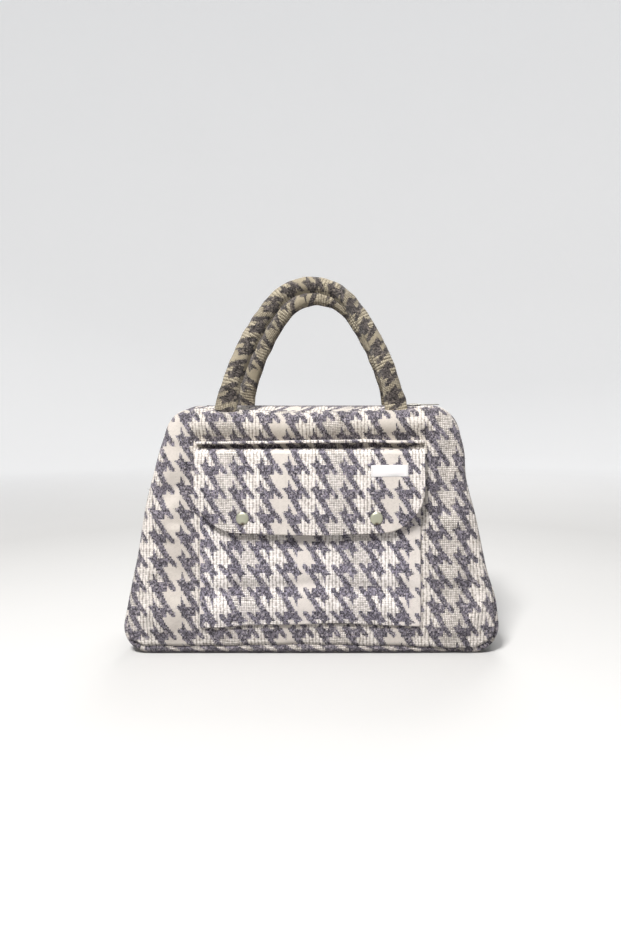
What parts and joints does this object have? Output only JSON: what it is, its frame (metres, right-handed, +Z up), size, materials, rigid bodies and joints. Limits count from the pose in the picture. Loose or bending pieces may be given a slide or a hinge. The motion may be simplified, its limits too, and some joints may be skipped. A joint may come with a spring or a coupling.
{
  "type": "handbag",
  "caption": "Soft houndstooth top-handle handbag with a padded trapezoid body, zip top, snap-flap front pocket and round corded handles.",
  "frame": {"origin": "under the middle of the whole bag, on the surface that it stands on", "axes": "+X to the wearer's right as seen from the front, +Z up, and the front with its flap pocket faces -Y"},
  "size_m": [0.3194, 0.1132, 0.3242],
  "materials": {
    "houndstooth_cloth": "thick woven houndstooth, cream on slate grey, bouclé and rib weaves",
    "handle_tails": "dark woven tape",
    "foam": "soft fused foam",
    "base_board": "stiffening board",
    "lining_cloth": "plain woven lining",
    "handle_cord": "twisted cotton cord",
    "zip_tape": "woven zip tape",
    "zip_coil": "nylon coil",
    "zip_metal": "dull plated metal",
    "snap_caps": "domed caps, sage grey plating",
    "snap_metal": "dull plated metal",
    "label": "white woven tab, bare"
  },
  "bodies": {
    "bag": {"front_panel": "houndstooth_cloth", "rear_panel": "houndstooth_cloth", "front_foam": "foam", "rear_foam": "foam", "lining_front": "lining_cloth", "lining_rear": "lining_cloth", "right_gusset": "houndstooth_cloth", "left_gusset": "houndstooth_cloth", "base_gusset": "houndstooth_cloth", "lining_right": "lining_cloth", "lining_left": "lining_cloth", "base_board": "base_board", "lining_base": "lining_cloth", "front_top_border": "houndstooth_cloth", "rear_top_border": "houndstooth_cloth", "right_zip_end_panel": "houndstooth_cloth", "left_zip_end_panel": "houndstooth_cloth", "zip_tape_ends": "zip_tape", "zip_coil_ends": "zip_coil", "zip_stops": "zip_metal", "pocket_panel": "houndstooth_cloth", "pocket_lining": "lining_cloth", "flap_hem": "houndstooth_cloth", "snap_studs": "snap_metal", "snap_stud_backs": "snap_metal", "front_handle_anchors": "handle_tails", "rear_handle_anchors": "handle_tails"},
    "pocket_flap": {"flap": "houndstooth_cloth", "flap_lining": "lining_cloth", "label": "label", "snap_caps": "snap_caps", "snap_sockets": "snap_metal"},
    "front_handle": {"front_handle_sleeve": "houndstooth_cloth", "front_handle_cord": "handle_cord", "front_handle_tabs": "houndstooth_cloth"},
    "rear_handle": {"rear_handle_sleeve": "houndstooth_cloth", "rear_handle_cord": "handle_cord", "rear_handle_tabs": "houndstooth_cloth"},
    "front_closure": {"front_zip_strip": "houndstooth_cloth", "front_zip_facing": "lining_cloth", "front_zip_tape": "zip_tape", "front_zip_coil": "zip_coil"},
    "rear_closure": {"rear_zip_strip": "houndstooth_cloth", "rear_zip_facing": "lining_cloth", "rear_zip_tape": "zip_tape", "rear_zip_coil": "zip_coil"},
    "slider": {"zip_slider": "zip_metal"},
    "pull": {"zip_pull": "zip_metal"}
  },
  "joints": [
    {"name": "flap_hinge", "type": "hinge", "parent": "bag", "child": "pocket_flap", "pos_m": [0, -0.05174, 0.1764], "axis": [-1, 0, 0], "range_deg": [0, 150]},
    {"name": "front_handle_hinge", "type": "hinge", "parent": "bag", "child": "front_handle", "pos_m": [0, -0.03804, 0.215], "axis": [-1, 0, 0], "range_deg": [-81, 14]},
    {"name": "rear_handle_hinge", "type": "hinge", "parent": "bag", "child": "rear_handle", "pos_m": [0, 0.05096, 0.215], "axis": [1, 0, 0], "range_deg": [-81, 14]},
    {"name": "front_closure_hinge", "type": "hinge", "parent": "bag", "child": "front_closure", "pos_m": [0, -0.03179, 0.212], "axis": [-1, 0, 0], "range_deg": [-75, 0]},
    {"name": "rear_closure_hinge", "type": "hinge", "parent": "bag", "child": "rear_closure", "pos_m": [0, 0.04471, 0.212], "axis": [1, 0, 0], "range_deg": [-75, 0]},
    {"name": "zip_slide", "type": "slide", "parent": "bag", "child": "slider", "axis": [1, 0, 0], "range_m": [-0.182, 0]},
    {"name": "pull_hinge", "type": "hinge", "parent": "slider", "child": "pull", "pos_m": [0.091, 0.00646, 0.21465], "axis": [0, 1, 0], "range_deg": [-170, 0]}
  ]
}
